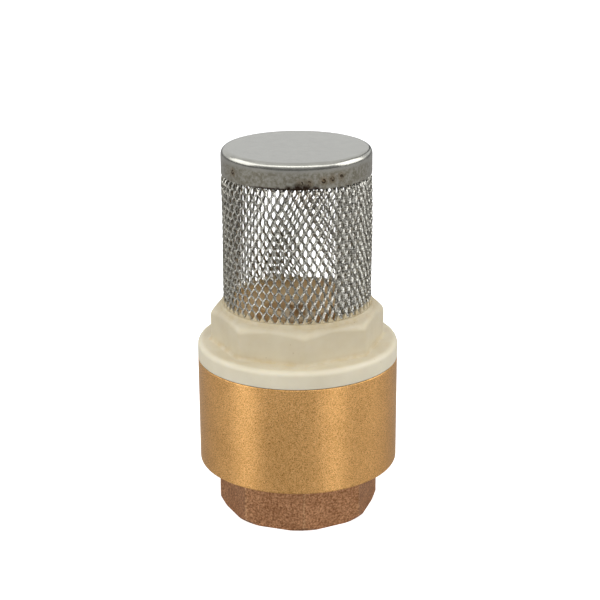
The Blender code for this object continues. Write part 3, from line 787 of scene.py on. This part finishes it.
def spider_piece(name, finish, hub_out, hub_low, hub_high, rib_half, rib_low, rib_high, reach):
    """A bored hub and four ribs that reach out from it, joined into one closed mesh."""
    angles = round_angles(64)
    hub = shell(
        name,
        soften(
            [
                (hub_out, hub_high, 0.3),
                (hub_out, hub_low, 0.3),
                (HUB_BORE_R, hub_low, 0.1),
                (HUB_BORE_R, hub_high, 0.1),
            ]
        ),
        angles,
        [finish],
    )
    tools = []
    for k in range(4):
        start = 0.5 * (HUB_BORE_R + hub_out)
        points, faces = block((start, -rib_half, rib_low), (reach, rib_half, rib_high))
        rib = piece_from(f"{name}_rib_{k}", [Vector(p) * MM for p in points], faces, [finish])
        edges = bmesh.new()
        edges.from_mesh(rib.data)
        bmesh.ops.bevel(
            edges, geom=edges.edges[:], offset=0.25 * MM, segments=3, profile=0.5, affect="EDGES"
        )
        bmesh.ops.rotate(
            edges,
            verts=edges.verts,
            matrix=Matrix.Rotation(math.radians(45.0 + 90.0 * k), 3, "Z"),
        )
        edges.to_mesh(rib.data)
        edges.free()
        change = hub.modifiers.new(rib.name, "BOOLEAN")
        change.operation = "UNION"
        change.object = rib
        tools.append(rib)
    bpy.context.view_layer.update()
    ready = bpy.context.evaluated_depsgraph_get()
    joined = bpy.data.meshes.new_from_object(hub.evaluated_get(ready), depsgraph=ready)
    hub.modifiers.clear()
    hub.data = joined
    joined.shade_smooth()
    for tool in tools:
        bpy.data.objects.remove(tool)
    weigh_normals(hub, 45.0)
    return hub


def body_web(finish):
    """The outlet's guide web, cast in one with the body."""
    web = spider_piece(
        "body_web",
        finish,
        hub_out=4.8,
        hub_low=8.5,
        hub_high=CHAMBER_FLOOR,
        rib_half=1.25,
        rib_low=GASKET_BED + 0.2,
        rib_high=CHAMBER_FLOOR - 0.3,
        reach=PORT_R + 0.3,
    )
    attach(web, "valve")
    return web


# ---------------------------------------------------------------- nylon cap


def cap_web(finish):
    """The cap's guide web, moulded in one with it."""
    web = spider_piece(
        "cap_web",
        finish,
        hub_out=4.6,
        hub_low=44.5,
        hub_high=49.5,
        rib_half=1.0,
        rib_low=44.8,
        rib_high=49.2,
        reach=BORE_R + 0.3,
    )
    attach(web, "inlet_unit")
    return web


def nylon_cap():
    """Flange, octagon collar, raised foot ring, screwed spigot, seat and funnel."""
    corners = [OCTAGON_TURN - 90.0 + 45.0 * k for k in range(8)]
    angles = round_angles(240, corners)
    side = octagon(angles, COLLAR_CORNER_R, 90.0)
    edge_z = COLLAR_RING_Z - COLLAR_SLOPE * (side - COLLAR_RING_R)
    outside = [
        (FUNNEL_TOP_R + 0.3, COLLAR_TOP - 0.35, 0.0),
        (FUNNEL_TOP_R + 0.8, COLLAR_TOP, 0.3),
        (COLLAR_RING_R - 0.35, COLLAR_TOP, 0.4),
        (COLLAR_RING_R, COLLAR_RING_Z + 0.1, 0.12),
        (side, edge_z, 2.1),
        (side, FLANGE_TOP, 1.0),
        (CAP_R, FLANGE_TOP, 1.5),
        (CAP_R, FLANGE_BOTTOM, 0.15),
        (GROOVE_R, FLANGE_BOTTOM, 0.2),
        (GROOVE_R, CAP_THREAD_TOP, 0.2),
        (SPIGOT_ROOT_R - 0.2, SPIGOT_THREAD_TOP + 0.2, 0.0),
    ]
    rows = soften(outside, 6, closed=False, room=0.85)
    high, low = SPIGOT_THREAD_TOP, SPIGOT_BOTTOM + 0.8
    steps = int((high - low) / CAP_THREAD_PITCH * 14)
    for i in range(steps + 1):
        height = high + (low - high) * i / steps
        wave = thread_wave(angles, height, CAP_THREAD_PITCH, 0.08, 0.36)
        fade = min(1.0, (height - low) / 0.8 + 0.1, (high - height) / 0.8 + 0.1)
        rows.append((SPIGOT_ROOT_R + (SPIGOT_CREST_R - SPIGOT_ROOT_R) * wave * fade, height))
    inside = [
        (SPIGOT_ROOT_R - 0.3, SPIGOT_BOTTOM + 0.4, 0.0),
        (SPIGOT_ROOT_R - 0.7, SPIGOT_BOTTOM, 0.2),
        (SPIGOT_BORE_R, SPIGOT_BOTTOM, 0.3),
        (SPIGOT_BORE_R, SEAT_ROOF, 0.4),
        (SEAT_OUT_R, SEAT_ROOF, 0.2),
        (SEAT_OUT_R, SEAT_FACE, 0.25),
        (SEAT_IN_R, SEAT_FACE, 0.25),
        (SEAT_IN_R, SEAT_ROOF, 0.1),
        (BORE_R, SEAT_ROOF, 0.1),
        (BORE_R, FUNNEL_BOTTOM, 0.6),
        (FUNNEL_TOP_R, COLLAR_TOP - 0.7, 0.3),
    ]
    rows += soften(inside, closed=False)
    bore_rows = 15
    stained_painted_from = len(rows) - bore_rows

    def slot(i):
        """The bore and the funnel are stained and carry a painted warm bounce light."""
        return 1 if i >= stained_painted_from else 0

    cap = shell("nylon_cap", rows, angles, [nylon(), stained_nylon_painted_bounce()], row_slot=slot)
    weigh_normals(cap)
    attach(cap, "inlet_unit")
    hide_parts("inlet_cap")
    return cap


def foot_teeth(finish):
    """Small points of nylon that stand between the strands at the mesh's foot."""
    count = STRANDS_ROUND // 2
    draw = np.random.default_rng(11)
    points, faces = [], []
    step = TAU / count
    for k in range(count):
        middle = from_front(MESH_TURN) + step * (k + 0.25)
        tall = 1.45 + 0.45 * draw.random()
        wide = 0.44 + 0.05 * draw.random()
        base = COLLAR_TOP - 0.4
        outer, inner = MESH_R + 0.25, MESH_R - 0.75
        first = len(points)
        for radius, proud in ((outer, 0.12), (inner, 0.0)):
            for across, up in ((-wide, 0.0), (wide, 0.0), (0.0, tall)):
                angle = middle + across * step
                reach = radius - proud * up
                points.append(
                    (reach * math.cos(angle) * MM, reach * math.sin(angle) * MM, (base + up) * MM)
                )
        a, b, c, d, e, f = range(first, first + 6)
        faces += [(a, b, c), (d, f, e), (a, d, e, b), (b, e, f, c), (c, f, d, a)]
    teeth = piece_from("foot_teeth", points, faces, [finish])
    change = teeth.modifiers.new("edges", "BEVEL")
    change.width = 0.12 * MM
    change.segments = 2
    weigh_normals(teeth, 60.0)
    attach(teeth, "inlet_unit")
    return teeth


# ---------------------------------------------------------------- strainer


def wobble(angle, height):
    """Slow uneven bulging of the rolled sheet, in millimetres."""
    slow = 0.10 * math.sin(3.0 * angle + 0.11 * height) + 0.05 * math.sin(7.0 * angle - 0.23 * height)
    return slow + 0.035 * math.sin(23.0 * angle + 1.7 * height)


def strand_rows(low, high, phase):
    """(height, sway) along a strand. Sway goes from -1, the left bond, to +1, the right bond."""
    half = 0.5 * DIAMOND_HEIGHT
    ramp = (BOND_SHARE, 0.35, 0.5, 0.65, 1.0 - BOND_SHARE)
    rows = []
    first = math.floor((low - phase) / half) - 1
    last = math.ceil((high - phase) / half) + 1
    for k in range(first, last):
        start = -1.0 if k % 2 == 0 else 1.0
        for t in ramp:
            height = phase + (k + t) * half
            share = (t - BOND_SHARE) / (1.0 - 2.0 * BOND_SHARE)
            rows.append((height, start * (1.0 - 2.0 * share)))
    inside = [row for row in rows if low < row[0] < high]

    def sway_at(height):
        """The sway where the strand is cut off, between two of its points."""
        for (h0, s0), (h1, s1) in zip(rows, rows[1:]):
            if h0 <= height <= h1:
                return s0 + (s1 - s0) * (height - h0) / (h1 - h0)
        return 0.0

    return [(low, sway_at(low))] + inside + [(high, sway_at(high))]


def lattice(name, strand_range, lift, low, high, shift, finishes):
    """Expanded metal: zigzag strands whose flat sides all lean the same way, bonded where they meet.

    The first finish is for the rolled flats of a strand, the second for its sheared flanks, which carry a
    painted shade.
    """
    section = []
    half_w, half_t, cut = 0.5 * STRAND_WIDTH, 0.5 * STRAND_THICK, 0.13
    for sx, sy in ((1, 1), (-1, 1), (-1, -1), (1, -1)):
        corner = [(sx * (half_w - cut), sy * half_t), (sx * half_w, sy * (half_t - cut))]
        section += corner if sx * sy > 0 else corner[::-1]
    section = section[::-1]
    flat_sides = [
        abs(section[j][1]) + abs(section[(j + 1) % len(section)][1]) > 1.99 * half_t
        for j in range(len(section))
    ]
    spacing = TAU / STRANDS_ROUND
    middle_r = MESH_R - 0.36 + lift
    in_out = 0.5 * STRAND_WIDTH * math.sin(STRAND_TILT)
    swing = 0.5 * (spacing * middle_r) - 0.5 * STRAND_WIDTH * math.cos(STRAND_TILT) + 0.02
    points, faces, slots = [], [], []
    for k in strand_range:
        base_angle = from_front(MESH_TURN) + spacing * k
        phase = 0.5 * DIAMOND_HEIGHT * (k % 2) + shift
        rows = strand_rows(low, high, phase)
        first = len(points)
        for height, sway in rows:
            bulge = wobble(base_angle, height)
            neck = necking(height)
            radius = middle_r - in_out * sway + bulge - neck
            angle = base_angle + sway * swing / middle_r
            out = Vector((math.cos(angle), math.sin(angle), 0.0))
            right = Vector((-math.sin(angle), math.cos(angle), 0.0))
            flat = right * math.cos(STRAND_TILT) + out * math.sin(STRAND_TILT)
            thick = out * math.cos(STRAND_TILT) - right * math.sin(STRAND_TILT)
            centre = out * radius + Vector((0.0, 0.0, height))
            for u, v in section:
                points.append((centre + flat * u + thick * v) * MM)
        sides = len(section)
        for i in range(len(rows) - 1):
            for j in range(sides):
                a = first + i * sides + j
                b = first + i * sides + (j + 1) % sides
                faces.append((a, b, b + sides, a + sides))
                slots.append(0 if flat_sides[j] else 1)
        faces.append(tuple(first + j for j in range(sides))[::-1])
        last = first + (len(rows) - 1) * sides
        faces.append(tuple(last + j for j in range(sides)))
        slots += [1, 1]
    mesh = piece_from(name, points, faces, finishes, slots)
    mesh.data.set_sharp_from_angle(angle=math.radians(75.0))
    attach(mesh, "inlet_unit")
    return mesh


def necking(height):
    """How far the mesh is pressed in where the end cap's skirt grips it."""
    depth, length = 0.55, 1.2
    edge = SKIRT_BOTTOM - 0.2
    if height < edge - length:
        return 0.0
    share = min(1.0, (height - edge + length) / length)
    return depth * share * share * (3.0 - 2.0 * share)


def strainer(steel):
    """The rolled sheet, and its second layer where the ends overlap."""
    low, high = MESH_FOOT + 1.0, MESH_TOP - 0.3
    sheet = lattice("strainer_sheet", range(STRANDS_ROUND), 0.0, low, high, MESH_RISE, steel)
    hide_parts("strainer_mesh")
    first = int((LAP_START - MESH_TURN) / 360.0 * STRANDS_ROUND)
    last = int((LAP_END - MESH_TURN) / 360.0 * STRANDS_ROUND)
    lap_rise = MESH_RISE + 0.12 * DIAMOND_HEIGHT
    lattice("strainer_lap", range(first, last), -0.55, low, high - 0.5, lap_rise, steel)


def end_cap():
    """Pressed lid: flat top, rounded shoulder, skirt of thin sheet."""
    inner_r, inner_top = LID_R - LID_SHEET, LID_TOP - LID_SHEET
    profile = [
        (0.0, LID_TOP, 0.0),
        (LID_R, LID_TOP, LID_SHOULDER_R),
        (LID_R, SKIRT_BOTTOM, 0.12),
        (inner_r, SKIRT_BOTTOM, 0.12),
        (inner_r, inner_top, LID_SHOULDER_R - LID_SHEET),
        (0.0, inner_top, 0.0),
    ]
    lid = shell(
        "end_cap", soften(profile, 10, closed=False), round_angles(240), [pressed_steel()], closed=False
    )
    weigh_normals(lid)
    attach(lid, "inlet_unit")
    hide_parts("strainer_end_cap", *[f"cap_spot_weld_{i + 1}" for i in range(len(CAP_WELDS))])
    return lid


# ---------------------------------------------------------------- inner pieces


def dress_inner_nodes(finishes):
    """The CAD nodes that stay in view get their materials."""
    for node, finish in finishes.items():
        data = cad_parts[node].data
        data.materials.clear()
        data.materials.append(finish)


def closing_spring(finish):
    """A coil whose end turns lie almost flat."""
    outer_r, bottom, top = extent("closing_spring")
    wire_r, coils, sides, steps = 0.4, 5.0, 10, 32
    coil_r = outer_r - wire_r
    low, high = bottom + wire_r, top - wire_r
    flat_turns, flat_rise = 0.9, 0.85
    count = int(coils * steps)
    places = [i / steps for i in range(count + 1)]
    heights = np.interp(
        places,
        [0.0, flat_turns, coils - flat_turns, coils],
        [low, low + flat_rise, high - flat_rise, high],
    )
    points, faces = [], []
    for turn, height in zip(places, heights):
        angle = TAU * turn
        for j in range(sides):
            around = TAU * j / sides
            radius = coil_r + wire_r * math.cos(around)
            level = height + wire_r * math.sin(around)
            points.append((radius * math.cos(angle) * MM, radius * math.sin(angle) * MM, level * MM))
    for i in range(count):
        for j in range(sides):
            a, b = i * sides + j, i * sides + (j + 1) % sides
            faces.append((a, a + sides, b + sides, b))
    faces.append(tuple(range(sides)))
    faces.append(tuple(range(count * sides, (count + 1) * sides))[::-1])
    spring = piece_from("spring_coil", points, faces, [finish])
    weigh_normals(spring, 60.0)
    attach(spring, "valve")
    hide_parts("closing_spring")
    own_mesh(spring)
    return spring


# ---------------------------------------------------------------- stage


def stage(lid):
    """Pale floor, white surroundings and soft boxes. The lid's rim has a light strip of its own."""
    corners = [(-STAGE_HALF, -STAGE_HALF, 0.0), (STAGE_HALF, -STAGE_HALF, 0.0)]
    corners += [(STAGE_HALF, STAGE_HALF, 0.0), (-STAGE_HALF, STAGE_HALF, 0.0)]
    floor = piece_from("floor", corners, [(0, 1, 2, 3)], [floor_paper()])
    surroundings()
    boxes = {name: soft_box(name, *settings) for name, settings in SOFT_BOXES.items()}
    link_light([boxes[name] for name in BOXES_OFF_LID], lid, "EXCLUDE")
    link_light([boxes[BOX_ON_LID]], lid, "INCLUDE")


def link_light(lamps, piece, state):
    """Keeps the lamps' light off a piece, or on that piece alone."""
    receivers = bpy.data.collections.new(f"light_{state.lower()}")
    receivers.objects.link(piece)
    receivers.collection_objects[0].light_linking.link_state = state
    for lamp in lamps:
        lamp.light_linking.receiver_collection = receivers


def surroundings():
    """A white backdrop for the camera. The light comes from a dim room with a bright wall behind.

    The room is darkest low down in front and sideways, and in a leaning gap to the wall's right.
    """
    world = bpy.data.worlds.new("studio")
    bpy.context.scene.world = world
    world.use_nodes = True
    tree = world.node_tree
    direction = tree.nodes.new("ShaderNodeTexCoord")
    split = tree.nodes.new("ShaderNodeSeparateXYZ")
    tree.links.new(direction.outputs["Generated"], split.inputs["Vector"])
    back, up = split.outputs["Y"], split.outputs["Z"]
    facing_gap = tree.nodes.new("ShaderNodeVectorMath")
    facing_gap.operation = "DOT_PRODUCT"
    facing_gap.inputs[1].default_value = GAP_PLANE
    tree.links.new(direction.outputs["Generated"], facing_gap.inputs[0])
    off_gap = world_math(tree, "ABSOLUTE", facing_gap.outputs["Value"])
    beside = world_range(tree, off_gap, 0.03, 0.07, 0.0, 1.0)
    before = world_range(tree, back, 0.0, 0.2, 1.0, 0.0)
    clear = world_math(tree, "MAXIMUM", beside, before)
    behind = world_range(tree, back, 0.15, 0.75, 0.0, WALL_LIGHT)
    above = world_range(tree, up, 0.0, 0.12, 0.0, 1.0)
    wall = world_math(tree, "MULTIPLY", behind, above)
    dome = world_range(tree, up, 0.10, 0.85, ROOM_LIGHT_LOW, ROOM_LIGHT)
    lit = world_math(tree, "MAXIMUM", wall, dome)
    strength = world_math(tree, "MULTIPLY", lit, world_range(tree, clear, 0.0, 1.0, GAP_LIGHT, 1.0))
    room = tree.nodes["Background"]
    room.inputs["Color"].default_value = (0.97, 0.985, 1.0, 1.0)
    tree.links.new(strength, room.inputs["Strength"])
    white = tree.nodes.new("ShaderNodeBackground")
    white.inputs["Color"].default_value = (1.0, 1.0, 1.0, 1.0)
    white.inputs["Strength"].default_value = 1.05
    seen = tree.nodes.new("ShaderNodeLightPath")
    choose = tree.nodes.new("ShaderNodeMixShader")
    tree.links.new(seen.outputs["Is Camera Ray"], choose.inputs["Fac"])
    tree.links.new(room.outputs["Background"], choose.inputs[1])
    tree.links.new(white.outputs["Background"], choose.inputs[2])
    tree.links.new(choose.outputs["Shader"], tree.nodes["World Output"].inputs["Surface"])


def world_math(tree, operation, *values):
    """One calculation on the room's values."""
    node = tree.nodes.new("ShaderNodeMath")
    node.operation = operation
    for value, socket in zip(values, node.inputs):
        tree.links.new(value, socket)
    return node.outputs["Value"]


def world_range(tree, value, low, high, to_low, to_high):
    """A value of the room, moved from one range to another and kept inside it."""
    node = tree.nodes.new("ShaderNodeMapRange")
    node.inputs["From Min"].default_value = low
    node.inputs["From Max"].default_value = high
    node.inputs["To Min"].default_value = to_low
    node.inputs["To Max"].default_value = to_high
    tree.links.new(value, node.inputs["Value"])
    return node.outputs["Result"]


def soft_box(name, turn, elevation, distance, size, power):
    """An area light that looks at the middle of the valve. Size is (width, height) in metres."""
    target = 0.5 * (cad_low + cad_high)
    light = bpy.data.lights.new(name, "AREA")
    light.shape = "RECTANGLE"
    light.size, light.size_y = size
    light.energy = power
    lamp = bpy.data.objects.new(name, light)
    bpy.context.scene.collection.objects.link(lamp)
    turned_by, up = from_front(turn), math.radians(elevation)
    away = Vector((math.cos(turned_by) * math.cos(up), math.sin(turned_by) * math.cos(up), math.sin(up)))
    lamp.location = target + away * distance
    lamp.rotation_mode = "QUATERNION"
    lamp.rotation_quaternion = (-away).to_track_quat("-Z", "Y")
    return lamp


def camera():
    """A long lens, looking a little down on the valve from the front."""
    pitch = math.radians(18.888)
    roll = math.radians(0.306)
    distance = 0.38666
    aim = Vector((0.00066, 0.0, 0.05412))
    back = Vector((0.0, -math.cos(pitch), math.sin(pitch)))
    up = Vector((0.0, math.sin(pitch), math.cos(pitch)))
    right = Vector((1.0, 0.0, 0.0))
    level = Matrix((right, up, back)).transposed()
    tilt = Matrix.Rotation(-roll, 3, "Z")
    data = bpy.data.cameras.new("camera")
    data.lens = 93.225
    data.sensor_width = 36.0
    data.clip_start = 0.01
    eye = bpy.data.objects.new("camera", data)
    bpy.context.scene.collection.objects.link(eye)
    eye.matrix_world = Matrix.Translation(aim + back * distance) @ (level @ tilt).to_4x4()
    bpy.context.scene.camera = eye


def build():
    """The whole valve and its stage."""
    scene = bpy.context.scene
    scene.view_settings.view_transform = "Standard"
    body = brass_body()
    body_web(body.data.materials[2])
    cap = nylon_cap()
    cap_web(cap.data.materials[1])
    foot_teeth(cap.data.materials[0])
    mesh_steel = [strainer_steel(), sheared_steel_painted_shade()]
    strainer(mesh_steel)
    lid = end_cap()
    steel, rubber, plastic = machined_steel(), nitrile(), acetal_painted_shade()
    brass = turned_brass("brass_disc")
    dress_inner_nodes(
        {
            "cap_gasket": rubber,
            "outlet_gasket": rubber,
            "poppet_seal": rubber,
            "lower_guide_bush": plastic,
            "upper_guide_bush": plastic,
            "poppet_disc": brass,
            "poppet_stem": stained_steel(),
            "seal_retainer": steel,
            "disc_backing_washer": steel,
            "stem_lock_washer": steel,
            "stem_nut": steel,
            "stem_circlip": steel,
            "spring_seat_washer": steel,
            "seam_spot_weld_1": mesh_steel[1],
            "seam_spot_weld_2": mesh_steel[1],
            "seam_spot_weld_3": mesh_steel[1],
        }
    )
    closing_spring(steel)
    stage(lid)
    camera()


build()
